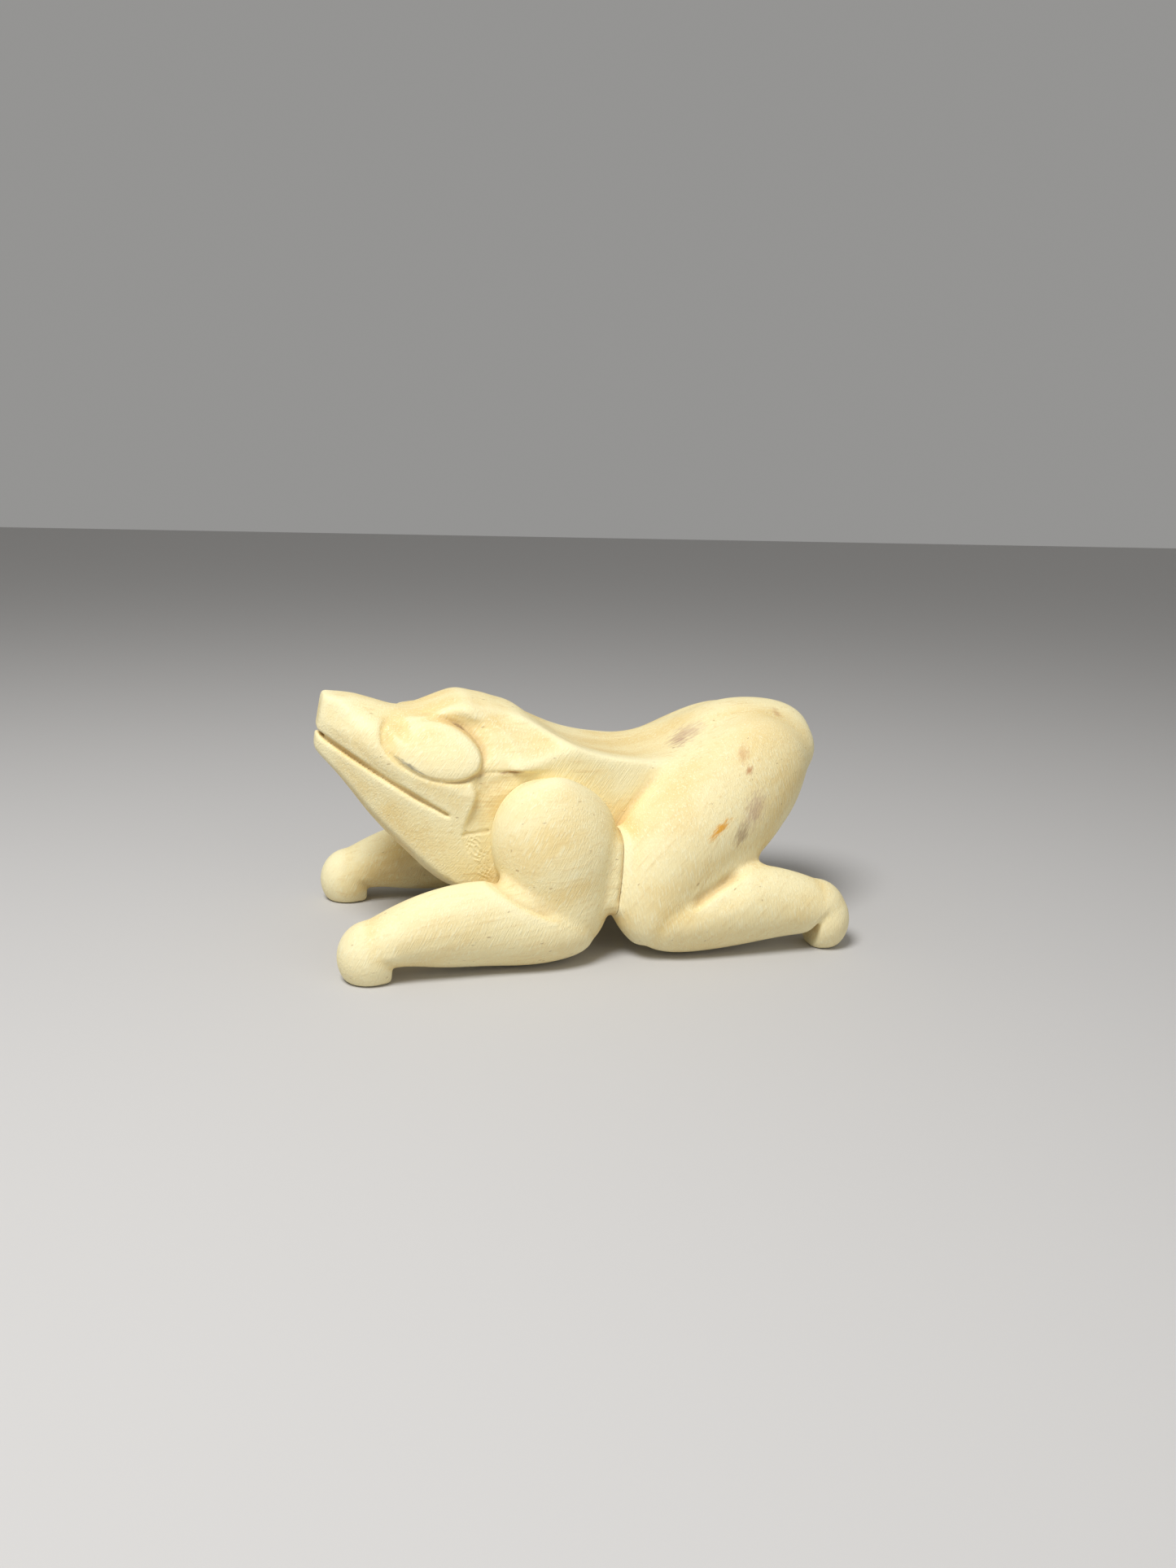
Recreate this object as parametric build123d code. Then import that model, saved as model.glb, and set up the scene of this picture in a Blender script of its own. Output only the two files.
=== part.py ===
"""Carved wooden frog, the unpainted blank of a Latin American folk figure.

The frog faces -Y, its left side is +X, and it stands on z = 0 on four small soles.
A body block with a sawn flat on each flank carries four carved legs.
Each leg is glued to its flat and held by one hidden wooden peg. Units are millimetres.
"""

import math
import os

from build123d import *

os.makedirs("parts", exist_ok=True)

# ---- driving dimensions ------------------------------------------------------------------------
SEAT_X = 23.0  # the sawn flat each leg is glued to, measured from the middle of the frog
LEG_MEET = (6.0, 30.0)  # y, z of a point on the leaning plane where shoulder and thigh meet
LEG_MEET_LEAN = 6.0  # degrees, leaning back at the top
LEG_GAP = 0.2  # knife line left between shoulder and thigh
PEG_R = 2.5
PEG_REACH = 9.0  # how far a peg enters the body, and how far it enters the leg
PEG_GAP = 0.05  # glue film round a peg
PEG_END_GAP = 0.6  # air at the blind end of a peg hole
MOUTH_GAP = 1.0
MIDDLE_Y = 0.5  # middle of the frog's length in the stations below, moved to the origin at the end
FAR = 200.0  # larger than the whole figure

# ---- body block --------------------------------------------------------------------------------
# y, crown z, then (x, z) of the carved edges: back edge, flank edge and keel edge, then keel z
BODY_STATIONS = [
    (-76.0, 74.2, (2.4, 73.8), (3.6, 67.0), (2.6, 58.2), 57.4),
    (-73.2, 73.7, (4.8, 73.2), (6.4, 65.6), (4.8, 54.9), 53.8),
    (-69.8, 73.0, (7.4, 72.3), (9.8, 64.2), (7.4, 51.6), 49.8),
    (-60.6, 71.4, (14.0, 70.2), (17.5, 59.8), (13.5, 40.8), 37.2),
    (-49.6, 68.6, (15.5, 67.2), (22.5, 55.8), (17.5, 29.4), 25.0),
    (-41.6, 71.0, (15.0, 69.4), (25.0, 53.4), (20.5, 22.6), 17.6),
    (-31.6, 73.6, (15.0, 71.0), (26.5, 52.8), (22.0, 19.0), 14.0),
    (-18.6, 69.2, (14.0, 67.4), (26.0, 53.6), (22.0, 17.6), 13.2),
    (-3.6, 60.4, (23.0, 59.4), (26.0, 53.6), (21.5, 17.2), 13.0),
    (11.4, 56.2, (23.5, 55.6), (25.0, 51.8), (21.0, 18.4), 14.4),
    (25.4, 56.8, (21.0, 56.0), (23.6, 48.8), (20.0, 22.0), 18.0),
    (39.4, 65.0, (9.0, 63.6), (19.5, 52.8), (16.5, 29.6), 25.6),
    (49.4, 68.4, (8.0, 67.2), (19.5, 56.8), (15.5, 36.0), 31.0),
    (60.0, 69.0, (8.0, 67.4), (18.0, 57.6), (14.5, 41.0), 36.5),
    (69.0, 67.4, (7.0, 66.0), (14.5, 57.0), (12.0, 45.6), 42.0),
    (76.6, 59.0, (3.6, 58.6), (7.2, 55.0), (5.6, 50.6), 49.4),
]
SNOUT_TOP = (-73.5, 73.2)  # the sloping front of the snout, as (y, z)
SNOUT_CHIN = (-76.2, 58.4)
SNOUT_CUT_REACH = 40.0  # how far that front is carried on above and below the head
JAW_EDGE = [(-31.0, 52.6), (-34.4, 45.6), (-36.9, 38.9), (-37.8, 33.0), (-38.0, 22.0), (-36.0, 6.0)]
FLANK_REAR = [(80.0, 0.0), (80.0, 72.0)]  # behind the rump, so the flat runs out there
SEAT_TOP = [(12.0, 60.0), (1.0, 54.6), (-8.0, 53.6), (-20.0, 53.4)]
HAUNCH_BOTTOM_Z = 22.0  # under this the inner side of a thigh is cut away from the body
MOUTH_CORNER = (-40.8, 41.4)
MOUTH_FRONT = (-78.0, 64.4)
LIP_END_Y = -63.0  # ahead of this the mouth slit goes right through the snout
MOUTH_CORE_X = 9.0  # behind it the wood between the two slits is left this far out
MOUTH_CORE_REAR_Y = -30.0
MOUTH_CORE_Z = (20.0, 80.0)

# ---- eye, a flat oval left standing on the slanting side of the head ------------------------------
EYE_CENTRE = (20.2, -44.2, 60.2)
EYE_FACING = (0.84, -0.15, 0.52)
EYE_REARWARD = (0.10, 0.93, -0.35)  # the way the oval's length points
EYE_RADII = (13.8, 8.7)
EYE_HEIGHT = 3.6
EYE_SINK = 2.0  # how far the middle of the eye's oval lies under the head's surface
EYE_GROOVE = 1.3  # depth of the crescent cut above and behind the eye
EYE_HOLLOW_SHIFT = (1.2, 1.4)  # how far back and up the hollow lies from the eye
EYE_HOLLOW_MARGIN = (2.2, 2.0)  # how much longer and higher it is
EYE_HOLLOW_REACH = 6.0

# ---- limbs: centre (x, y, z), half width, half depth ---------------------------------------------
SHOULDER = [
    ((27.0, -12.6, 52.4), 1.5, 2.0),
    ((27.5, -12.6, 51.2), 5.5, 6.5),
    ((27.5, -12.7, 47.5), 9.5, 12.2),
    ((27.0, -12.5, 41.0), 12.8, 16.6),
    ((26.5, -11.4, 32.5), 14.8, 18.0),
    ((26.5, -10.4, 23.0), 14.8, 16.4),
    ((28.4, -9.8, 13.5), 12.8, 13.4),
    ((30.4, -11.2, 7.0), 9.6, 9.6),
    ((31.2, -12.6, 2.8), 3.5, 3.5),
]
FOREARM = [
    ((31.5, -2.4, 10.0), 3.0, 3.0),
    ((32.5, -6.6, 9.8), 7.6, 7.4),
    ((33.2, -14.6, 10.6), 9.6, 9.8),
    ((33.4, -28.6, 12.9), 9.8, 11.9),
    ((33.6, -41.6, 13.2), 9.4, 11.5),
    ((33.6, -50.0, 12.4), 9.2, 10.0),
    ((33.6, -58.0, 11.0), 8.8, 7.9),
    ((33.6, -65.0, 8.6), 7.6, 6.4),
    ((33.6, -69.5, 7.4), 4.5, 4.5),
]
THIGH = [
    ((9.0, 65.0, 59.0), 6.0, 7.5),
    ((11.5, 60.3, 54.7), 11.8, 14.2),
    ((16.0, 50.6, 47.4), 14.2, 18.2),
    ((21.0, 38.9, 39.1), 15.5, 19.4),
    ((25.8, 27.0, 31.2), 15.0, 18.6),
    ((29.5, 18.8, 22.6), 13.0, 15.8),
    ((32.2, 15.6, 12.4), 10.4, 11.6),
    ((33.0, 16.4, 4.2), 5.4, 5.6),
]
SHIN = [
    ((32.0, 10.6, 9.8), 3.0, 3.0),
    ((32.8, 15.0, 10.4), 8.2, 8.4),
    ((33.6, 23.4, 11.8), 9.8, 11.2),
    ((34.4, 34.4, 13.2), 9.8, 12.0),
    ((35.0, 46.4, 14.2), 9.4, 11.6),
    ((35.4, 57.4, 13.6), 8.8, 9.8),
    ((35.6, 67.0, 11.8), 7.4, 7.4),
    ((35.6, 71.0, 10.0), 4.0, 4.0),
]
FRONT_FOOT_CENTRE = (33.6, -64.6, 6.5)
FRONT_FOOT_RADII = (8.6, 8.8, 9.8)
FRONT_HEEL_Y = -59.2
HIND_FOOT_CENTRE = (35.6, 69.2, 8.0)
HIND_FOOT_RADII = (8.4, 7.8, 9.6)
HIND_NOTCH = [(59.0, -1.0), (64.8, -1.0), (65.3, 3.0), (65.0, 11.2), (62.2, 5.2), (59.0, 3.2)]
HIND_NOTCH_REACH = 60.0  # the notch is cut from the frog's middle out past the leg

FRONT_PEG = (-12.0, 33.0)  # y, z of the peg in each shoulder
HIND_PEG = (30.0, 36.0)  # y, z of the peg in each thigh


# ---- shared shapes -------------------------------------------------------------------------------
def ellipsoid(centre, radii):
    return Pos(*centre) * scale(Sphere(1.0), by=radii)


def lofted_limb(stations):
    """A limb through oval sections that stand square to its centre line."""
    centres = [Vector(*centre) for centre, _, _ in stations]
    sections = []
    for i, (_, half_width, half_depth) in enumerate(stations):
        ahead = centres[min(i + 1, len(centres) - 1)]
        behind = centres[max(i - 1, 0)]
        along = (ahead - behind).normalized()
        across = (Vector(1, 0, 0) - along * along.X).normalized()
        plane = Plane(origin=centres[i], x_dir=across, z_dir=along)
        sections.append(plane * Ellipse(half_width, half_depth))
    return loft(sections)


def side_plate(outline, x_from, x_to):
    """A flat plate parallel to the frog's side, from an outline given as (y, z)."""
    wire = Wire(Polyline(*[(x_from, y, z) for y, z in outline], close=True).edges())
    return extrude(Face(wire), amount=x_to - x_from, dir=(1, 0, 0))


def mirrored(shape):
    return mirror(shape, about=Plane.YZ)


def half_space(axis, start, sign):
    """Everything on one side of a plane square to X, Y or Z."""
    size = [2 * FAR, 2 * FAR, 2 * FAR]
    centre = [0.0, 0.0, 0.0]
    centre["XYZ".index(axis)] = start + sign * FAR
    return Pos(*centre) * Box(*size)


def leg_side(sign):
    """Everything ahead of (-1) or behind (+1) the plane between shoulder and thigh."""
    y, z = LEG_MEET
    block = Pos(0, sign * (FAR + LEG_GAP / 2), 0) * Box(2 * FAR, 2 * FAR, 2 * FAR)
    return Pos(0, y, z) * Rot(-LEG_MEET_LEAN, 0, 0) * block


def peg_rod(y, z, radius, x_from, x_to):
    plane = Plane(origin=(x_from, y, z), z_dir=(1, 0, 0))
    return plane * Cylinder(radius, x_to - x_from, align=(Align.CENTER, Align.CENTER, Align.MIN))


# ---- the limbs before they are fitted ----------------------------------------------------------------
def whole_thigh():
    return lofted_limb(THIGH)


def whole_front_leg():
    leg = lofted_limb(SHOULDER) + lofted_limb(FOREARM)
    foot = ellipsoid(FRONT_FOOT_CENTRE, FRONT_FOOT_RADII)
    foot -= half_space("Y", FRONT_HEEL_Y, 1)
    leg += foot
    return leg & half_space("Z", 0.0, 1)


def whole_hind_leg():
    leg = whole_thigh() + lofted_limb(SHIN)
    leg += ellipsoid(HIND_FOOT_CENTRE, HIND_FOOT_RADII)
    leg -= side_plate(HIND_NOTCH, 0.0, HIND_NOTCH_REACH)
    return leg & half_space("Z", 0.0, 1)


# ---- fitted pieces -------------------------------------------------------------------------------------
def peg_hole(y, z):
    reach = PEG_REACH + PEG_END_GAP
    return peg_rod(y, z, PEG_R + PEG_GAP, SEAT_X - reach, SEAT_X + reach)


def make_front_leg():
    """Left front leg: round shoulder, elbow, forearm and foot in one carved piece."""
    leg = whole_front_leg()
    leg &= half_space("X", SEAT_X, 1)
    leg &= leg_side(-1)
    return leg - peg_hole(*FRONT_PEG)


def make_hind_leg():
    """Left hind leg: thigh, knee, shin and hooked foot in one carved piece."""
    leg = whole_hind_leg()
    leg &= half_space("X", SEAT_X, 1)
    leg &= leg_side(1)
    return leg - peg_hole(*HIND_PEG)


def make_peg(y, z):
    return peg_rod(y, z, PEG_R, SEAT_X - PEG_REACH, SEAT_X + PEG_REACH)


def body_section(station):
    """One closed section of the body block, square to Y, with its carved edges as corners."""
    y, crown, back, flank, keel, bottom = station
    crown_pull = (0, y, 2 * crown - back[1])
    keel_pull = (0, y, 2 * bottom - keel[1])
    edges = [
        Bezier((-back[0], y, back[1]), crown_pull, (back[0], y, back[1])),
        Line((back[0], y, back[1]), (flank[0], y, flank[1])),
        Line((flank[0], y, flank[1]), (keel[0], y, keel[1])),
        Bezier((keel[0], y, keel[1]), keel_pull, (-keel[0], y, keel[1])),
        Line((-keel[0], y, keel[1]), (-flank[0], y, flank[1])),
        Line((-flank[0], y, flank[1]), (-back[0], y, back[1])),
    ]
    return Face(Wire(edges))


def snout_front_cut():
    """Everything ahead of the sloping front of the snout."""
    top_y, top_z = SNOUT_TOP
    chin_y, chin_z = SNOUT_CHIN
    slope = (chin_y - top_y) / (chin_z - top_z)
    high = (top_y + slope * SNOUT_CUT_REACH, top_z + SNOUT_CUT_REACH)
    low = (chin_y - slope * SNOUT_CUT_REACH, chin_z - SNOUT_CUT_REACH)
    return side_plate([high, low, (-FAR, low[1]), (-FAR, high[1])], -FAR, FAR)


def mouth_slit():
    """Thin saw cut right through the snout, from the front back to the mouth corners."""
    y0, z0 = MOUTH_FRONT
    y1, z1 = MOUTH_CORNER
    length = math.hypot(y1 - y0, z1 - z0)
    tilt = math.degrees(math.atan2(z1 - z0, y1 - y0))
    plate = Box(FAR, length, MOUTH_GAP, align=(Align.CENTER, Align.MIN, Align.CENTER))
    low, high = MOUTH_CORE_Z
    front, rear = LIP_END_Y, MOUTH_CORE_REAR_Y
    outline = [(front, high), (rear, high), (rear, low), (front, low)]
    core = side_plate(outline, -MOUTH_CORE_X, MOUTH_CORE_X)
    slit = Pos(0, y0, z0) * Rot(tilt, 0, 0) * plate
    return slit - core


def flank_flat():
    """Waste sawn off the left flank behind the jaw, down to the flat that carries the legs."""
    return side_plate(JAW_EDGE + FLANK_REAR + SEAT_TOP, SEAT_X, FAR)


def eye_plane():
    facing = Vector(*EYE_FACING).normalized()
    rearward = Vector(*EYE_REARWARD)
    rearward = (rearward - facing * facing.dot(rearward)).normalized()
    return Plane(origin=EYE_CENTRE, x_dir=rearward, z_dir=facing)


def eye_groove():
    """Shallow oval hollow, set up and back so that it shows as a crescent behind the eye."""
    length, height = (r + m for r, m in zip(EYE_RADII, EYE_HOLLOW_MARGIN))
    hollow = Pos(*EYE_HOLLOW_SHIFT) * Ellipse(length, height)
    return eye_plane() * Pos(0, 0, -EYE_GROOVE) * extrude(hollow, amount=EYE_HOLLOW_REACH)


def eye_lens():
    """The eye itself, a low oval standing up out of its hollow."""
    length, height = EYE_RADII
    lens = scale(Sphere(1.0), by=(length, height, EYE_HEIGHT))
    return eye_plane() * Pos(0, 0, -EYE_SINK) * lens


def make_body():
    """Head, trunk and rump, carved from one block."""
    body = loft([body_section(s) for s in BODY_STATIONS])
    body -= snout_front_cut()
    body -= eye_groove()
    body -= mirrored(eye_groove())
    body += eye_lens()
    body += mirrored(eye_lens())
    body -= flank_flat()
    body -= mirrored(flank_flat())
    body -= mouth_slit()
    haunch = whole_thigh() & half_space("X", SEAT_X, -1) & half_space("Z", HAUNCH_BOTTOM_Z, 1)
    body += haunch
    body += mirrored(haunch)
    for y, z in (FRONT_PEG, HIND_PEG):
        body -= peg_hole(y, z)
        body -= mirrored(peg_hole(y, z))
    return body


def report_shape(name, shape):
    box = shape.bounding_box()
    print(name, shape.is_valid, len(shape.solids()), round(shape.volume, 1),
          [round(v, 2) for v in (*box.min, *box.max)])


def main():
    front_leg = make_front_leg()
    hind_leg = make_hind_leg()
    front_peg = make_peg(*FRONT_PEG)
    hind_peg = make_peg(*HIND_PEG)
    nodes = {
        "body": make_body(),
        "front_leg_left": front_leg,
        "front_leg_right": mirrored(front_leg),
        "hind_leg_left": hind_leg,
        "hind_leg_right": mirrored(hind_leg),
        "front_peg_left": front_peg,
        "front_peg_right": mirrored(front_peg),
        "hind_peg_left": hind_peg,
        "hind_peg_right": mirrored(hind_peg),
    }
    for name, shape in nodes.items():
        placed = Pos(0, -MIDDLE_Y, 0) * shape
        report_shape(name, placed)
        export_step(placed, f"parts/{name}.step")


main()
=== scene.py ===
import math

import bmesh
import bpy
import numpy as np
import openvdb
from mathutils import Matrix, Vector


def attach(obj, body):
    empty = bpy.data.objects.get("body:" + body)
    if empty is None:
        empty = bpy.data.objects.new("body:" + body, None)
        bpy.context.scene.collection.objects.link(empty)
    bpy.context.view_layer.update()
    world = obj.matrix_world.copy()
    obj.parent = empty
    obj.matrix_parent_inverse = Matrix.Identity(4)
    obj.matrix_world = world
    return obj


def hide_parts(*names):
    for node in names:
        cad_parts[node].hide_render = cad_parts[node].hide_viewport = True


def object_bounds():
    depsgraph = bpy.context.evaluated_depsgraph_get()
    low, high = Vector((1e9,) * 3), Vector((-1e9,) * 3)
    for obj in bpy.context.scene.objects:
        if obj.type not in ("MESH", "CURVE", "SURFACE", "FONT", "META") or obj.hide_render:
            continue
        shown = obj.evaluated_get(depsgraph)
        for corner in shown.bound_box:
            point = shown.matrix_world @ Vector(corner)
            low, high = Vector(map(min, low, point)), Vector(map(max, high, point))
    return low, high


# Everything below is in millimetres in the row frame: x to the figure's left, y to its tail, z up.
# Blender's own units are metres, so MM turns one into the other.
MM = 0.001

# The wood is worked again on a block of small cubes, each of which holds its distance to the surface.
CELL = 0.45
BAND = 8.0
MARGIN = 5.0
STEP = openvdb.createLinearTransform(voxelSize=CELL)

# Where the CAD model's pieces meet: the legs' flat seats, and the leaning plane, through this y and z,
# between the shoulder and the thigh.
SEAT_X = 23.0
LEG_MEET = (5.5, 30.0)
LEG_MEET_LEAN = math.radians(6.0)
LEG_GAP = 0.2
PEG_HOLE_R = 2.55
PEG_HOLE_REACH = 9.3
PEG_MIDDLES = [(-12.5, 33.0), (29.5, 36.0)]

# The flank lies a hair inside the cut faces of the legs, so the legs stand on it with a fine joint.
CUT_X = 22.95
FLANK_X = 22.8

SIDES = {"left": 1, "right": -1}


# ---------------------------------------------------------------- the block of cells

def block_of_cells(low, high):
    """First cell, number of cells and the millimetre places of the cells along each axis."""
    first = [int(math.floor((v / MM - MARGIN) / CELL)) for v in low]
    last = [int(math.ceil((v / MM + MARGIN) / CELL)) for v in high]
    shape = tuple(b - a + 1 for a, b in zip(first, last))
    places = []
    for axis in range(3):
        line = (np.arange(shape[axis]) + first[axis]) * CELL
        spread = [1, 1, 1]
        spread[axis] = -1
        places.append(line.astype(np.float32).reshape(spread))
    return first, shape, places


def distance_to(points, corners, reach=BAND):
    """Distance to a closed mesh's surface in every cell, below zero inside it."""
    level = openvdb.FloatGrid.createLevelSetFromPolygons(
        points, triangles=corners, transform=STEP, halfWidth=reach / CELL)
    field = np.empty(SHAPE, np.float32)
    level.copyToArray(field, ijk=FIRST)
    return field


def cad_field(name):
    """Distance to the surface of a CAD node."""
    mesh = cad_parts[name].data
    mesh.calc_loop_triangles()
    points = np.empty(len(mesh.vertices) * 3, np.float32)
    mesh.vertices.foreach_get("co", points)
    corners = np.empty(len(mesh.loop_triangles) * 3, np.int32)
    mesh.loop_triangles.foreach_get("vertices", corners)
    return distance_to(points.reshape(-1, 3) / MM, corners.reshape(-1, 3).astype(np.uint32))


def surface_at(field, level):
    """The points and four-sided faces where a field has one value, in millimetres."""
    grid = openvdb.FloatGrid(float(field.max()))
    grid.copyFromArray(field, ijk=FIRST)
    grid.transform = STEP
    return grid.convertToQuads(isovalue=level)


def valleys_filled(field, radius):
    """The field with every valley tighter than a ball of this radius filled."""
    points, quads = surface_at(field, radius)
    corners = np.concatenate([quads[:, [0, 1, 2]], quads[:, [0, 2, 3]]]).astype(np.uint32)
    swollen = distance_to(points.astype(np.float32), corners, radius + BAND)
    return np.clip(swollen + radius, -BAND, BAND)


def blurred(field, spread):
    """The field averaged over spread millimetres, which rounds edges and fills creases."""
    reach = int(math.ceil(2.5 * spread / CELL))
    steps = np.arange(-reach, reach + 1) * CELL
    weights = np.exp(-0.5 * (steps / spread) ** 2)
    weights = (weights / weights.sum()).astype(np.float32)
    for axis in range(3):
        edges = [(reach, reach) if a == axis else (0, 0) for a in range(3)]
        wide = np.pad(field, edges, mode="edge")
        total = np.zeros_like(field)
        for start, weight in enumerate(weights):
            window = [slice(None)] * 3
            window[axis] = slice(start, start + field.shape[axis])
            total += weight * wide[tuple(window)]
        field = total
    return field


def ramp(values, start, end):
    """Smoothly from 0 at start to 1 at end."""
    t = np.clip((values - start) / (end - start), 0, 1)
    return t * t * (3 - 2 * t)


def risen(values, start, full, falling, end):
    """Smoothly from 0 at start to 1 at full, then from 1 at falling back to 0 at end."""
    return ramp(values, start, full) * (1 - ramp(values, falling, end))


def mixed(a, b, share):
    """a where the share is 0, b where it is 1."""
    return a + (b - a) * share


def sampled(field, points):
    """A field's value at points given in millimetres, blended between the eight nearest cells."""
    place = points / CELL - np.array(FIRST)
    place = np.clip(place, 0, np.array(SHAPE) - 1.001)
    low = place.astype(np.int64)
    part = place - low
    total = np.zeros(len(points))
    for corner in np.ndindex(2, 2, 2):
        at = low + np.array(corner)
        share = np.prod(np.where(np.array(corner) == 1, part, 1 - part), axis=1)
        total += share * field[at[:, 0], at[:, 1], at[:, 2]]
    return total


# ---------------------------------------------------------------- joining the CAD's pieces

def side_slices(side, near, far):
    """Which slices of the block lie from near to far millimetres out on one side."""
    out = X.ravel() * side
    return np.nonzero((out >= near) & (out <= far))[0]


def beyond_meet(y, z):
    """How far behind the plane between shoulder and thigh a point lies."""
    lean = LEG_MEET_LEAN
    return (y - LEG_MEET[0]) * math.cos(lean) - (z - LEG_MEET[1]) * math.sin(lean)


def grown_inward(leg, side, inset):
    """A leg carried on through its seat, by its outline there, drawn in by the inset."""
    longer = leg.copy()
    outline = leg[side_slices(side, SEAT_X + 1.5 * CELL, SEAT_X + 3 * CELL)].min(axis=0)
    for i in side_slices(side, SEAT_X - 4.0, SEAT_X + 1.5 * CELL):
        longer[i] = np.minimum(longer[i], outline + inset)
    return longer


def with_peg_holes(field):
    """The field with the blind holes for the four pegs drilled across the seats."""
    depth = np.abs(np.abs(X) - SEAT_X) - PEG_HOLE_REACH
    for y, z in PEG_MIDDLES:
        hole = np.maximum(np.hypot(Y - y, Z - z) - PEG_HOLE_R, depth)
        field = np.maximum(field, -hole)
    return field


def legs_together(front, hind):
    """The two legs of one side, filled through the hairline gap between shoulder and thigh."""
    gap = np.abs(beyond_meet(Y, Z)) - LEG_GAP
    both = np.maximum(np.maximum(front, hind) - 1.5 * LEG_GAP - CELL, gap - CELL)
    return np.minimum(np.minimum(front, hind), both)


# ---------------------------------------------------------------- lines on the flanks

def measure(points):
    """For each cell's y and z: distance to a side-view line, which side of it, and how far along."""
    y = Y.reshape(-1, 1)
    z = Z.reshape(1, -1)
    shape = (y.size, z.size)
    best, above, along = (np.full(shape, v, np.float32) for v in (1e3, 1, 0))
    total = sum(math.dist(a, b) for a, b in zip(points, points[1:]))
    done = 0.0
    for (y0, z0), (y1, z1) in zip(points, points[1:]):
        dy, dz = y1 - y0, z1 - z0
        length = math.hypot(dy, dz)
        t = np.clip(((y - y0) * dy + (z - z0) * dz) / length ** 2, 0, 1)
        distance = np.hypot(y - y0 - t * dy, z - z0 - t * dz)
        nearer = distance < best
        best = np.where(nearer, distance, best)
        above = np.where(nearer, np.sign((z - z0) * dy - (y - y0) * dz) * np.sign(dy), above)
        along = np.where(nearer, (done + t * length) / total, along)
        done += length
    return best, above, along


def distance_from(points):
    """For each cell's y and z: distance to a side-view line."""
    return measure(points)[0]


def beside(points, near, far):
    """1 up to near millimetres from a side-view line, falling to 0 at far millimetres."""
    return (1 - ramp(distance_from(points), near, far))[None]


def groove(points, depth, upper, lower, fade_start=0.0, fade_end=0.0):
    """Depth of a cut along a line, with walls upper and lower millimetres wide, fading at its ends."""
    distance, above, along = measure(points)
    wall = np.where(above > 0, upper, lower)
    profile = np.clip(1 - distance / wall, 0, 1)
    fade = np.ones_like(along)
    if fade_start:
        fade = fade * ramp(along, 0, fade_start)
    if fade_end:
        fade = fade * (1 - ramp(along, 1 - fade_end, 1))
    return depth * profile * fade


def carve(field, depth, from_x):
    """Lowers both flanks, beyond from_x millimetres from the middle, by a depth given over y and z."""
    return field + depth[None] * ramp(np.abs(X), from_x, from_x + 3)


# ---------------------------------------------------------------- the carving

# How far the sanding rounds the wood: most of it, its crisp lines, and the soft places.
SANDED = 0.8
CRISP = 0.4
SOFT = 2.0
HAUNCH_SOFT = 2.6

# The tightest valley that is left after filling: on the haunch, between the legs and in the armpit.
HAUNCH_VALLEY_R = 7.0
MEET_VALLEY_R = 5.0
ARMPIT_VALLEY_R = 1.6

# Lines of the carving in the side view, as (y, z).
MOUTH_LINE = [(-78.5, 64.6), (-41.3, 41.4)]
MOUTH_DEPTH = 1.2
LIP_EDGE = [(-77.5, 62.9), (-42.0, 40.8)]
JAW_REAR = [(-35.4, 44.0), (-37.4, 38.9), (-38.3, 33.0), (-38.5, 22.0), (-36.5, 6.0)]
NECK_TOP = [(-37.6, 52.4), (-30.6, 53.3), (-20.8, 53.6), (-10.6, 52.6)]
NECK_STOP_CUT = [(-37.6, 36.2), (-30.4, 36.8)]
CHEEK_CORNER = [(-32.5, 50.5), (-32.0, 52.5), (-27.0, 54.5)]
TORN_FIBRES = [(-34.5, 33.0), (-32.0, 28.5), (-31.0, 23.5)]
LEG_CREASE = [(6.3, 38.0), (5.5, 30.0), (3.9, 14.5)]
FRONT_HEEL = [(-59.7, -1.0), (-59.7, 7.5)]
HIND_NOTCH = [(58.5, 3.2), (61.7, 5.2), (64.5, 11.2), (64.8, 3.0), (64.3, -1.0)]
ARMPIT_CREASE = [(-32.4, 25.4), (-29.2, 23.2), (-23.7, 19.6), (-13.6, 15.0)]
KNEE_CREASE = [(23.5, 15.4), (27.1, 17.6), (34.7, 21.7), (45.0, 26.4)]

# The flat facet from the snout's top down to the front of the eye: a point on it and its direction.
SNOUT_FACET_AT = (7.4, -71.2, 72.8)
SNOUT_FACET_FACES = (0.434, 0.270, 0.859)

# Wood made up so that the rump, wrists and ankles sand to one round form: middle, half sizes, lowest z.
RUMP = ((8.0, 60.0, 54.5), (11.0, 14.4, 11.0), 30.0)
WRIST = ((33.6, -60.5, 8.5), (8.9, 9.5, 9.0), 6.0)
ANKLE = ((35.5, 65.5, 10.0), (8.6, 10.0, 10.4), 11.0)

# The eye, seen from the side: its middle, half sizes and how far its front end is raised.
EYE_MIDDLE = (-45.3, 60.0)
EYE_HALF = (14.0, 8.0)
EYE_TILT = math.radians(-18.0)

# The crescent hollow round the eye is deepest towards this angle, and the eye's front end is at the other.
CRESCENT_DEPTH = 2.0
CRESCENT_TOWARDS = math.radians(40.0)
EYE_LINE_DEPTH = 0.6
EYE_LINE_HALF = 0.9
EYE_FRONT_TOWARDS = math.radians(195.0)


def eye_measure():
    """For each cell's y and z: 1 on the eye's outline and less inside it, and the angle round it."""
    y = Y.reshape(-1, 1) - EYE_MIDDLE[0]
    z = Z.reshape(1, -1) - EYE_MIDDLE[1]
    along = y * math.cos(EYE_TILT) + z * math.sin(EYE_TILT)
    across = z * math.cos(EYE_TILT) - y * math.sin(EYE_TILT)
    return np.hypot(along / EYE_HALF[0], across / EYE_HALF[1]), np.arctan2(across, along)


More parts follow.
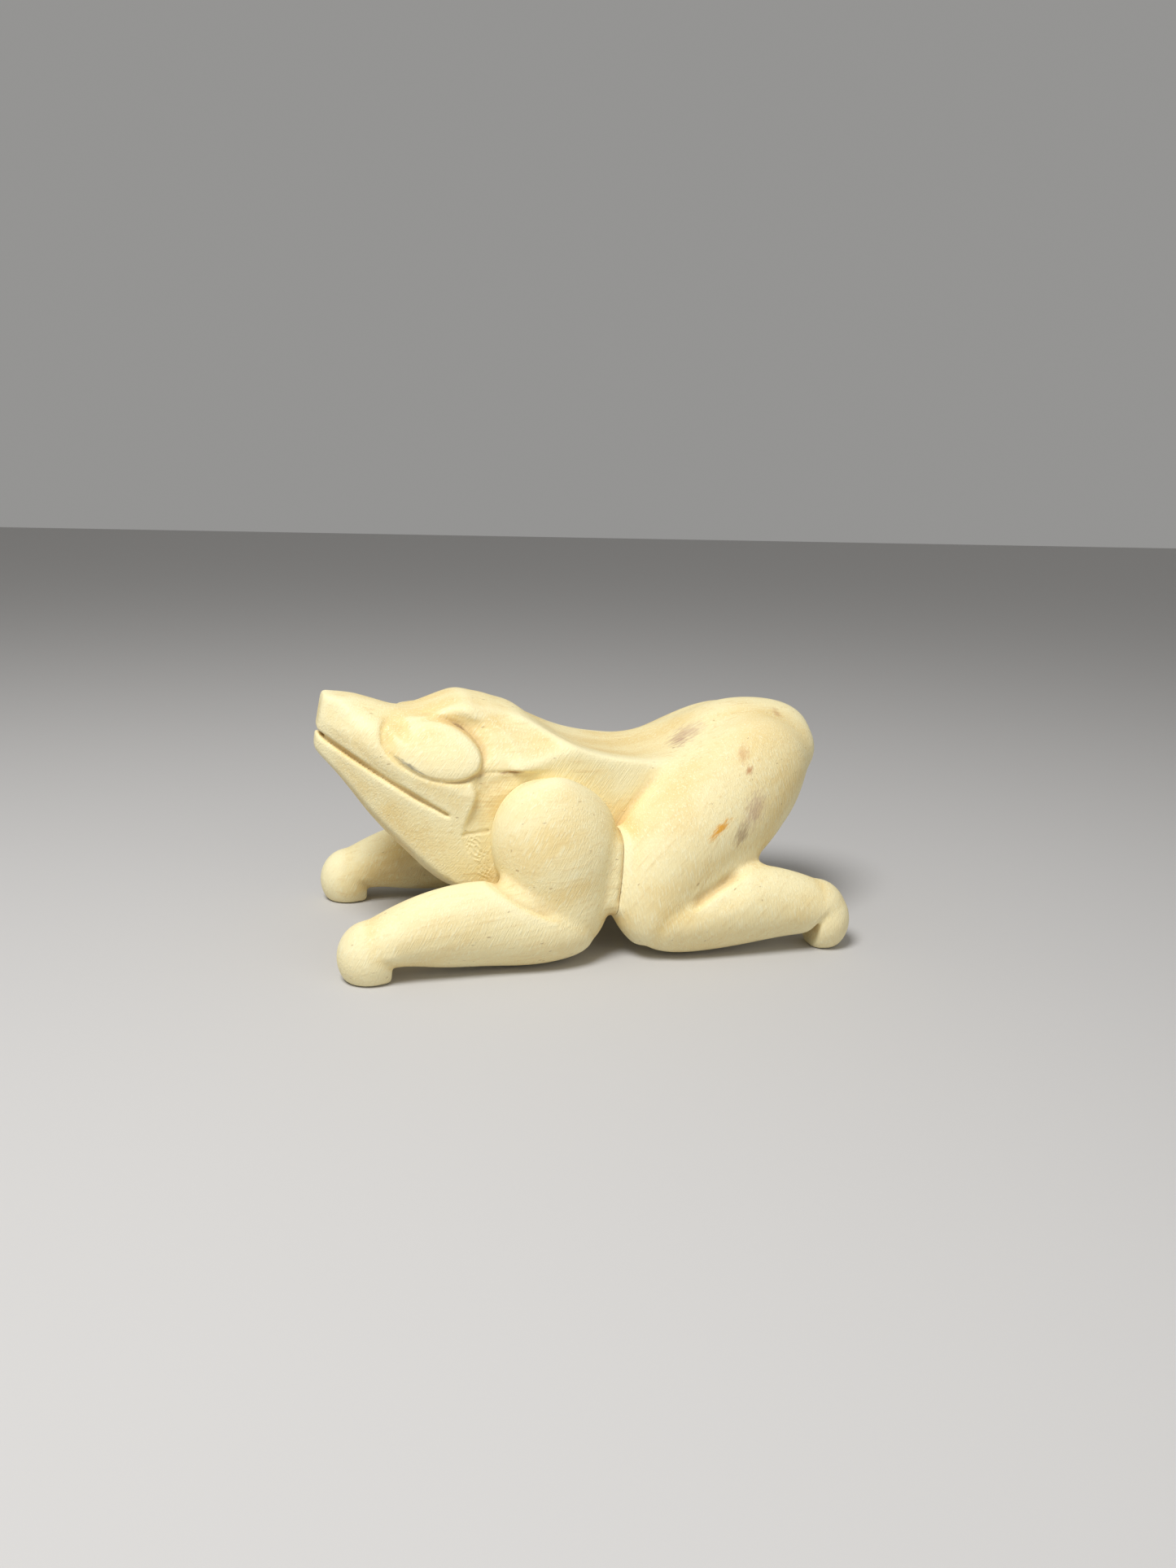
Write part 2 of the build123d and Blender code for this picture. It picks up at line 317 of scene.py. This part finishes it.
def eye_cut():
    """The crescent hollow above and behind the eye, and the fine line below it."""
    ring, angle = eye_measure()
    out = (ring - 1) * EYE_HALF[1]
    behind = ramp(np.cos(angle - CRESCENT_TOWARDS), -0.2, 0.7)
    outer_wall = np.clip(1 - out / (1.5 + 4.7 * behind), 0, 1)
    inner_wall = np.clip(1 + out / EYE_LINE_HALF, 0, 1)
    crescent = np.where(out > 0, outer_wall, inner_wall)
    line = np.clip(1 - np.abs(out) / EYE_LINE_HALF, 0, 1)
    below_brow = 1 - 0.75 * ramp(Z.reshape(1, -1), 65.0, 69.0)
    return CRESCENT_DEPTH * behind * crescent * below_brow + EYE_LINE_DEPTH * (1 - behind) * line


def eye_front():
    """1 round the eye's front end, where the hollow round it runs out."""
    ring, angle = eye_measure()
    towards = ramp(np.cos(angle - EYE_FRONT_TOWARDS), 0.3, 0.8)
    return (towards * risen(ring, 0.8, 1.0, 1.5, 1.8))[None]


def crisp_share():
    """1 beside the lines that stay sharp, 0 on the sanded surfaces."""
    sharp = [MOUTH_LINE, JAW_REAR, FRONT_HEEL, HIND_NOTCH]
    near = np.minimum.reduce([distance_from(line) for line in sharp])
    ring, _ = eye_measure()
    return np.maximum(1 - ramp(near, 1.2, 3.2), 1 - ramp(ring, 1.0, 1.15))[None]


def snout_facet(field):
    """Both upper corners of the snout cut flat, from its top down to the eyes."""
    x, y, z = SNOUT_FACET_AT
    across, along, up = SNOUT_FACET_FACES
    plane = (np.abs(X) - x) * across + (Y - y) * along + (Z - z) * up
    return mixed(field, np.maximum(field, plane), risen(Y, -73.0, -70.0, -56.0, -50.0))


def flank_flattened(body):
    """The body with its flank cut flat for the legs, behind the neck and under its top edge."""
    under_legs = ramp(beyond_meet(Y, Z), -2.0, -1.0)
    neck = (1 - ramp(Z, 49.0, 52.0)) * ramp(Y, -34.0, -30.0)
    cut = np.maximum(body, np.abs(X) - FLANK_X)
    flat = mixed(body, cut, np.maximum(under_legs, neck))
    bulge = 3.4 * (1 - ramp(Y, -27.0, -9.0))
    return np.maximum(flat, np.abs(X) - FLANK_X - bulge)


def brow_trimmed(field):
    """The slope behind the brow, planed a little lower."""
    return field + 1.1 * risen(Y, -36.0, -30.0, -26.0, -18.0) * ramp(Z, 62.0, 67.0)


def saddle_dish(field):
    """The middle of the back, slightly hollowed between its edges."""
    middle = 1 - ramp(np.abs(X), 6.0, 21.0)
    return field + 1.3 * risen(Y, -24.0, -4.0, 12.0, 30.0) * middle * ramp(Z, 44.0, 50.0)


def made_up(field, middle, half, from_z):
    """The field with an egg of wood added on each side, above a height."""
    x, y, z = middle
    reach = np.sqrt(((np.abs(X) - x) / half[0]) ** 2 + ((Y - y) / half[1]) ** 2 + ((Z - z) / half[2]) ** 2)
    egg = (reach - 1) * min(half)
    return mixed(field, np.minimum(field, egg), ramp(Z, from_z, from_z + 4))


def mouth_floor(field, filled):
    """The mouth, a shallow slit, by raising its bottom to MOUTH_DEPTH under the filled surface."""
    return mixed(field, np.minimum(field, filled + MOUTH_DEPTH), beside(MOUTH_LINE, 2.0, 3.0))


def pushed_down(field, line, shift, reach):
    """The field with what lies beside a side-view line moved down by up to shift millimetres."""
    near = np.clip(1 - (distance_from(line) / reach) ** 2, 0, 1) ** 2
    cells = np.argwhere(np.broadcast_to(near[None] > 0, SHAPE) & (np.abs(X) > SEAT_X + 2))
    places = (cells + np.array(FIRST)) * CELL
    places[:, 2] += shift * near[cells[:, 1], cells[:, 2]]
    moved = field.copy()
    moved[tuple(cells.T)] = sampled(field, places)
    return moved


def torn_fibres():
    """Depth of the fine ridges where the knife tore the wood between the neck and the shoulder."""
    y = Y.reshape(-1, 1)
    z = Z.reshape(1, -1)
    waves = np.sin((0.8 * y + z) * 4.2 + 1.6 * np.sin((z - 0.8 * y) * 0.9))
    return 0.45 * np.clip(waves, 0, 1) * beside(TORN_FIBRES, 1.0, 3.6)[0]


def rough_torso(hind_legs):
    """Body and hind legs joined, with the large flats and round ends, before the sanding."""
    field = flank_flattened(cad_field("body"))
    for name, side in SIDES.items():
        field = np.minimum(field, grown_inward(hind_legs[name], side, 0.5 * CELL))
    field = made_up(made_up(field, *RUMP), *ANKLE)
    return brow_trimmed(saddle_dish(snout_facet(field)))


def sanded_torso(rough, filled):
    """The torso rounded by the sanding: most on the haunch, least along the crisp lines."""
    haunch = ramp(Y, 12.0, 26.0) * ramp(Z, 36.0, 47.0)
    knee_end = beside(KNEE_CREASE[2:], 2.0, 7.0) * (np.abs(X) > SEAT_X)
    soft = np.maximum(beside(CHEEK_CORNER, 1.5, 4.0), eye_front())
    field = mixed(blurred(rough, SANDED), blurred(rough, SOFT), soft)
    field = mixed(field, blurred(filled, HAUNCH_SOFT), np.maximum(haunch, 0.35 * knee_end))
    return mixed(field, blurred(rough, CRISP), crisp_share() * (1 - eye_front()))


def torso_field(hind_legs, pairs):
    """Body and hind legs as one sanded mass, with the carver's sharp lines cut into it."""
    rough = rough_torso(hind_legs)
    filled = valleys_filled(rough, HAUNCH_VALLEY_R)
    field = mouth_floor(sanded_torso(rough, filled), filled)
    field = carve(field, eye_cut(), from_x=8)
    neck_top = groove(NECK_TOP, 0.45, upper=0.6, lower=0.8, fade_start=0.1, fade_end=0.6)
    field = carve(field, neck_top, from_x=20)
    field = carve(field, groove(NECK_STOP_CUT, 0.5, upper=0.5, lower=0.9), from_x=20)
    field = carve(field, groove(LIP_EDGE, 0.5, upper=1.0, lower=1.4, fade_end=0.3), from_x=2)
    field = pushed_down(field, KNEE_CREASE[:3], shift=2.0, reach=8.0)
    knee = groove(KNEE_CREASE, 1.2, upper=3.0, lower=1.1, fade_start=0.2, fade_end=0.5)
    field = carve(field, knee, from_x=26)
    field = carve(field, torn_fibres(), from_x=18)
    near_meet = risen(beyond_meet(Y, Z), -0.5, 0.0, 4.0, 8.0)
    for name, side in SIDES.items():
        outside = ramp(X * side, SEAT_X + 0.5, SEAT_X + 2.5)
        field = mixed(field, pairs[name], near_meet * outside)
    return with_peg_holes(field)


def leg_pair_field(front, hind, side):
    """One side's two legs sanded together, with only a fine crease between shoulder and thigh."""
    pair = legs_together(grown_inward(front, side, 0.0), grown_inward(hind, side, 0.0))
    pair = made_up(made_up(pair, *WRIST), *ANKLE)
    meet = (1 - ramp(np.abs(beyond_meet(Y, Z)), 3.0, 7.0)) * risen(Z, 12.0, 18.0, 33.0, 39.0)
    field = mixed(blurred(pair, SANDED), blurred(pair, CRISP), beside(FRONT_HEEL, 1.2, 3.2))
    field = mixed(field, blurred(valleys_filled(pair, MEET_VALLEY_R), SANDED), meet)
    armpit = blurred(valleys_filled(pair, ARMPIT_VALLEY_R), CRISP)
    field = mixed(field, armpit, beside(ARMPIT_CREASE, 3.5, 7.0))
    field = carve(field, groove(LEG_CREASE, 0.9, upper=1.3, lower=1.3, fade_end=0.2), from_x=24)
    field = carve(field, groove(ARMPIT_CREASE, 1.0, upper=3.0, lower=1.1, fade_end=0.3), from_x=24)
    return with_peg_holes(field)


# ---------------------------------------------------------------- meshes

# How wide a hollow or an edge is for the wood to get painted shade in it, or a paler edge that is partly
# wear and partly painted highlight.
HOLLOW_SCALE = 1.8


def vertex_places(mesh):
    """The mesh's points, in millimetres."""
    places = np.empty(len(mesh.vertices) * 3, np.float32)
    mesh.vertices.foreach_get("co", places)
    return places.reshape(-1, 3) / MM


def mesh_of(field, name):
    """The zero surface of a field as a smooth-shaded mesh object, in metres."""
    points, quads = surface_at(field, 0.0)
    points[:, 2] = np.maximum(points[:, 2], 0.0)
    mesh = bpy.data.meshes.new(name)
    mesh.from_pydata((points * MM).tolist(), [], quads.tolist())
    mesh.update()
    obj = bpy.data.objects.new(name, mesh)
    bpy.context.scene.collection.objects.link(obj)
    mesh.shade_smooth()
    return obj


def copied(obj, name):
    """A second object with its own copy of the mesh."""
    other = obj.copy()
    other.data = obj.data.copy()
    other.name = name
    other.data.name = name
    bpy.context.scene.collection.objects.link(other)
    return other


def cut_along(obj, point, normal, unwanted):
    """Cuts a mesh along a plane, removes the unwanted faces and closes the flat hole that they leave."""
    work = bmesh.new()
    work.from_mesh(obj.data)
    every = work.verts[:] + work.edges[:] + work.faces[:]
    bmesh.ops.bisect_plane(work, geom=every, plane_co=Vector(point) * MM, plane_no=Vector(normal))
    gone = [f for f in work.faces if unwanted(f.calc_center_median() / MM)]
    bmesh.ops.delete(work, geom=gone, context="FACES")
    rim = [e for e in work.edges if e.is_boundary]
    for edge in rim:
        edge.smooth = False
    bmesh.ops.triangle_fill(work, edges=rim, use_beauty=True, normal=Vector(normal))
    bmesh.ops.recalc_face_normals(work, faces=work.faces[:])
    work.to_mesh(obj.data)
    work.free()
    return obj


def leg_cut_from(whole, name, side, behind):
    """One leg, cut from a larger mesh at its seat and at the plane between shoulder and thigh."""
    leg = copied(whole, name)
    cut_along(leg, (side * CUT_X, 0, 0), (-side, 0, 0), lambda p: p.x * side < CUT_X)
    plane = (0, LEG_MEET[0] + behind * LEG_GAP / 2, LEG_MEET[1])
    normal = (0, -behind * math.cos(LEG_MEET_LEAN), behind * math.sin(LEG_MEET_LEAN))
    edge = LEG_GAP / 2
    return cut_along(leg, plane, normal, lambda p: beyond_meet(p.y, p.z) * behind < edge)


def body_cut_from(torso):
    """The body: the torso without the thighs that stand outside the seats."""
    for side in SIDES.values():
        cut_along(torso, (side * CUT_X, 0, 0), (side, 0, 0),
                  lambda p: p.x * side > CUT_X and beyond_meet(p.y, p.z) > -2.0)
    return torso


def note_hollows(obj, smoothed):
    """Stores on each vertex how hollow the surface is there: above 0 in a hollow, below 0 on an edge."""
    hollow = -sampled(smoothed, vertex_places(obj.data))
    # The wood's material paints shade into the hollows and paler edges, partly painted highlight, from this
    # value.
    attribute = obj.data.attributes.new("hollow", "FLOAT", "POINT")
    attribute.data.foreach_set("value", hollow.astype(np.float32))


# ---------------------------------------------------------------- materials

def srgb(red, green, blue):
    """A colour given by its usual 0 to 255 values, as Blender's linear colour."""
    parts = [v / 255 for v in (red, green, blue)]
    return tuple(p / 12.92 if p <= 0.04045 else ((p + 0.055) / 1.055) ** 2.4 for p in parts) + (1,)


# The wood's colours. The pale one also lightens edges, partly wear and partly painted highlight; the tan one
# also paints shade into hollows; the darkest brown is only painted shade in the deepest hollows.
CREAM = srgb(246, 231, 179)
HONEY = srgb(238, 213, 149)
PALE = srgb(251, 243, 202)
TAN = srgb(208, 174, 114)
DEEP_HOLLOW_SHADE = srgb(110, 72, 40)
FIBRE = srgb(226, 196, 134)
SPECK = srgb(150, 112, 74)


def add_node(tree, kind, inputs=None, **settings):
    """A node with its settings, and its inputs set to a value or linked to a socket."""
    made = tree.nodes.new(kind)
    for key, value in settings.items():
        setattr(made, key, value)
    for key, value in (inputs or {}).items():
        if isinstance(value, bpy.types.NodeSocket):
            tree.links.new(value, made.inputs[key])
        else:
            made.inputs[key].default_value = value
    return made


def blend(tree, share, under, over):
    """One colour laid over another, by a share from 0 to 1."""
    made = add_node(tree, "ShaderNodeMix", {0: share, 6: under, 7: over}, data_type="RGBA")
    return made.outputs[2]


def remap(tree, value, start, end, low=0.0, high=1.0):
    """A value taken smoothly from low at start to high at end."""
    made = add_node(tree, "ShaderNodeMapRange",
                    {"Value": value, "From Min": start, "From Max": end, "To Min": low, "To Max": high},
                    interpolation_type="SMOOTHSTEP")
    return made.outputs["Result"]


def maths(tree, operation, a, b):
    """The sum, product or other operation of two values."""
    return add_node(tree, "ShaderNodeMath", {0: a, 1: b}, operation=operation).outputs[0]


def noise(tree, place, scale, detail, roughness=0.5):
    """Smooth random values from 0 to 1, scale to a millimetre."""
    made = add_node(tree, "ShaderNodeTexNoise",
                    {"Vector": place, "Scale": scale, "Detail": detail, "Roughness": roughness})
    return made.outputs["Fac"]


def turned(tree, place, tilt, scale):
    """Places turned about x by tilt degrees, then scaled along each axis."""
    spun = add_node(tree, "ShaderNodeMapping",
                    {"Vector": place, "Rotation": (math.radians(-tilt), 0, 0)})
    return add_node(tree, "ShaderNodeMapping",
                    {"Vector": spun.outputs[0], "Scale": scale}).outputs[0]


# Marks in the wood: middle, half sizes along and across, tilt in degrees, colour and strength.
STAIN_HALF_DEEP = 8.0
STAINS = {
    "body": [
        # the brown streak on the rump, and a knot by its top
        ((10.0, 33.0, 60.8), (7.5, 2.2), 31, srgb(194, 160, 134), 0.6),
        ((12.0, 29.6, 58.8), (4.0, 1.1), 31, srgb(178, 142, 120), 0.6),
        ((9.0, 61.4, 65.8), (1.9, 1.4), 0, srgb(205, 168, 120), 0.7),
        # painted shade darkening the side of the neck, the dark end of the cut above it, and pencil left
        # under the eye
        ((25.0, -27.0, 44.5), (10.0, 9.0), 0, srgb(226, 196, 132), 0.75),
        ((25.5, -24.0, 53.5), (4.6, 0.8), 2, srgb(146, 92, 52), 0.85),
        ((20.8, -52.4, 56.0), (5.6, 0.75), -32, srgb(130, 126, 112), 0.7),
    ],
    "hind": [
        # two knots, the brown patch in two parts and the orange streak, all on the thigh
        ((27.6, 43.6, 57.2), (3.8, 2.2), 60, srgb(218, 178, 126), 0.7),
        ((30.6, 44.5, 53.1), (2.1, 1.4), 50, srgb(196, 146, 100), 0.85),
        ((35.0, 45.2, 42.6), (8.0, 4.6), 56, srgb(198, 168, 138), 0.7),
        ((37.4, 40.2, 36.0), (5.4, 3.0), 60, srgb(168, 142, 108), 0.7),
        ((38.7, 32.9, 38.5), (5.6, 1.7), 37, srgb(232, 170, 70), 1.0),
    ],
    "front": [],
}


def stain_share(tree, place, middle, half, tilt, strength):
    """How much a stain covers: most in its middle, broken up along the fibres."""
    local = add_node(tree, "ShaderNodeMapping",
                     {"Vector": place, "Location": middle, "Rotation": (math.radians(tilt), 0, 0),
                      "Scale": (STAIN_HALF_DEEP, *half)}, vector_type="TEXTURE").outputs[0]
    reach = add_node(tree, "ShaderNodeVectorMath", {0: local}, operation="LENGTH").outputs["Value"]
    streaks = noise(tree, turned(tree, place, tilt, (1.2, 0.3, 2.2)), 1.0, 3.0)
    ragged = maths(tree, "ADD", reach, remap(tree, streaks, 0.3, 0.7, 0.3, -0.25))
    return remap(tree, ragged, 1.05, 0.1, 0.0, strength)


def new_wood(name):
    """A new material, and the places on the object in millimetres."""
    material = bpy.data.materials.new(name)
    material.use_nodes = True
    tree = material.node_tree
    metres = add_node(tree, "ShaderNodeTexCoord").outputs["Object"]
    place = add_node(tree, "ShaderNodeMapping", {"Vector": metres, "Scale": (1 / MM,) * 3}).outputs[0]
    return material, tree, place


def finish_wood(tree, colour, roughness, height, strength, depth):
    """Gives the wood its colour, its roughness and a relief of depth millimetres."""
    shader = tree.nodes["Principled BSDF"]
    bump = add_node(tree, "ShaderNodeBump", {"Height": height, "Strength": strength, "Distance": depth * MM})
    tree.links.new(colour, shader.inputs["Base Color"])
    tree.links.new(roughness, shader.inputs["Roughness"])
    tree.links.new(bump.outputs["Normal"], shader.inputs["Normal"])
    shader.inputs["Specular IOR Level"].default_value = 0.35


def copal_material(part, fibre_tilt):
    """Sanded copal wood, its fibres tilted by fibre_tilt degrees from the body's length."""
    material, tree, place = new_wood("carved_copal_" + part)
    hollow = add_node(tree, "ShaderNodeAttribute", attribute_name="hollow").outputs["Fac"]
    broad = noise(tree, turned(tree, place, 20, (1.0, 0.45, 1.0)), 0.07, 3.0)
    fibres = noise(tree, turned(tree, place, fibre_tilt, (0.9, 0.07, 0.9)), 1.0, 4.0, 0.6)
    rubbed = noise(tree, turned(tree, place, fibre_tilt + 55, (2.0, 0.22, 2.6)), 1.0, 3.0, 0.65)
    pores = noise(tree, turned(tree, place, fibre_tilt, (1.0, 0.4, 1.0)), 0.9, 1.0)

    colour = blend(tree, remap(tree, broad, 0.38, 0.66), CREAM, HONEY)
    colour = blend(tree, remap(tree, fibres, 0.5, 0.75, 0.0, 0.55), colour, FIBRE)
    colour = blend(tree, remap(tree, rubbed, 0.5, 0.68, 0.0, 0.75), colour, PALE)
    # Colour by the hollow measure: edges paler, partly sanding wear and partly painted highlight; hollows
    # tan and the deepest hollows dark brown, both painted shade.
    colour = blend(tree, remap(tree, hollow, -0.02, -0.35, 0.0, 0.5), colour, PALE)
    colour = blend(tree, remap(tree, hollow, 0.03, 0.7, 0.0, 0.6), colour, TAN)
    colour = blend(tree, remap(tree, hollow, 0.8, 1.3, 0.0, 0.9), colour, DEEP_HOLLOW_SHADE)
    colour = blend(tree, remap(tree, pores, 0.74, 0.8, 0.0, 0.45), colour, SPECK)
    for middle, half, tilt, tint, strength in STAINS[part]:
        share = stain_share(tree, place, middle, half, tilt, strength)
        colour = blend(tree, share, colour, tint)

    roughness = remap(tree, rubbed, 0.3, 0.7, 0.72, 0.55)
    height = maths(tree, "ADD", maths(tree, "MULTIPLY", fibres, 0.5), rubbed)
    finish_wood(tree, colour, roughness, height, strength=0.9, depth=0.3)
    return material


def dowel_material():
    """Plain birch dowel, its fibres along the peg."""
    material, tree, place = new_wood("birch_dowel")
    fibres = noise(tree, turned(tree, place, 0, (0.1, 1.5, 1.5)), 1.0, 4.0, 0.6)
    colour = blend(tree, remap(tree, fibres, 0.35, 0.7), HONEY, TAN)
    roughness = remap(tree, fibres, 0.3, 0.7, 0.6, 0.75)
    finish_wood(tree, colour, roughness, fibres, strength=0.5, depth=0.1)
    return material


# ---------------------------------------------------------------- room

# The camera's place and axes, worked out from the table's edges, and its lens on 36 mm film.
CAMERA_AT = (335.12, -93.56, 130.0)
CAMERA_RIGHT = (0.2749, 0.9611, 0.0285)
CAMERA_UP = (-0.2395, 0.0398, 0.9701)
CAMERA_BACK = (0.9312, -0.2735, 0.2411)
LENS = 27.03
FILM_WIDTH = 36.0

PAPER = (0.55, 0.54, 0.53, 1)
SKY = (1.0, 0.99, 0.97, 1)
FLOOR_REACH = 3.0  # metres


def add_camera():
    """A camera that sees the figure as the photograph does."""
    data = bpy.data.cameras.new("camera")
    data.lens = LENS
    data.sensor_width = FILM_WIDTH
    data.clip_start = 0.01
    camera = bpy.data.objects.new("camera", data)
    axes = Matrix((CAMERA_RIGHT, CAMERA_UP, CAMERA_BACK)).transposed().to_4x4()
    camera.matrix_world = Matrix.Translation(Vector(CAMERA_AT) * MM) @ axes
    bpy.context.scene.collection.objects.link(camera)
    bpy.context.scene.camera = camera


def add_floor():
    """A plain sheet of pale paper under the figure."""
    mesh = bpy.data.meshes.new("floor")
    reach = FLOOR_REACH
    corners = [(-reach, -reach, 0), (reach, -reach, 0), (reach, reach, 0), (-reach, reach, 0)]
    mesh.from_pydata(corners, [], [(0, 1, 2, 3)])
    floor = bpy.data.objects.new("floor", mesh)
    bpy.context.scene.collection.objects.link(floor)
    material = bpy.data.materials.new("floor_paper")
    material.use_nodes = True
    shader = material.node_tree.nodes["Principled BSDF"]
    shader.inputs["Base Color"].default_value = PAPER
    shader.inputs["Roughness"].default_value = 0.9
    mesh.materials.append(material)


def add_lamp(name, place, size, power):
    """A round soft lamp, size metres wide, that faces the figure."""
    data = bpy.data.lights.new(name, "AREA")
    data.shape = "DISK"
    data.size = size
    data.energy = power
    lamp = bpy.data.objects.new(name, data)
    lamp.location = Vector(place)
    lamp.rotation_euler = (-Vector(place)).to_track_quat("-Z", "Y").to_euler()
    bpy.context.scene.collection.objects.link(lamp)


def add_lights():
    """A soft key lamp above the near side, a weak fill, and an even pale sky."""
    bpy.context.scene.view_settings.view_transform = "Standard"
    world = bpy.data.worlds.new("studio")
    world.use_nodes = True
    sky = world.node_tree.nodes["Background"]
    sky.inputs["Color"].default_value = SKY
    sky.inputs["Strength"].default_value = 0.3
    bpy.context.scene.world = world
    add_lamp("key", (0.30, -0.28, 0.68), 0.3, 5.4)
    add_lamp("fill", (0.75, 0.35, 0.3), 0.6, 0.7)


# ---------------------------------------------------------------- the scene

def make_pieces():
    """The five carved pieces, by the CAD node that each stands for."""
    fronts = {name: cad_field("front_leg_" + name) for name in SIDES}
    hinds = {name: cad_field("hind_leg_" + name) for name in SIDES}
    pairs = {name: leg_pair_field(fronts[name], hinds[name], side) for name, side in SIDES.items()}
    torso = torso_field(hinds, pairs)
    smoothed = blurred(torso, HOLLOW_SCALE)
    whole = mesh_of(torso, "carved_body")
    pieces = {"body": whole}
    for name, side in SIDES.items():
        hind = leg_cut_from(whole, "carved_hind_leg_" + name, side, 1)
        note_hollows(hind, smoothed)
        pieces["hind_leg_" + name] = hind
        pair = mesh_of(pairs[name], "pair_" + name)
        front = leg_cut_from(pair, "carved_front_leg_" + name, side, -1)
        bpy.data.objects.remove(pair)
        note_hollows(front, blurred(pairs[name], HOLLOW_SCALE))
        pieces["front_leg_" + name] = front
    body_cut_from(whole)
    note_hollows(whole, smoothed)
    return pieces


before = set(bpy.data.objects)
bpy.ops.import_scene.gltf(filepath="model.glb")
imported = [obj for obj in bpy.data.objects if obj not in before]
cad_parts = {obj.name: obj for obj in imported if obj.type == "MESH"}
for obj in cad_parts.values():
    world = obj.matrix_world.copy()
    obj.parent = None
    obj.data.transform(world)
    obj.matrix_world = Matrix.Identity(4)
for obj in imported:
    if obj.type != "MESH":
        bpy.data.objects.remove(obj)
cad_low, cad_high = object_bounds()
FIRST, SHAPE, (X, Y, Z) = block_of_cells(cad_low, cad_high)

woods = {"body": copal_material("body", 0), "front": copal_material("front", 8),
         "hind": copal_material("hind", 48)}
for node, piece in make_pieces().items():
    piece.data.materials.clear()
    piece.data.materials.append(woods[node.split("_")[0]])
    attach(piece, "root")
    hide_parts(node)

dowel = dowel_material()
for node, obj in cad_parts.items():
    if "_peg_" in node:
        for slot in obj.material_slots:
            slot.material = dowel

add_camera()
add_floor()
add_lights()
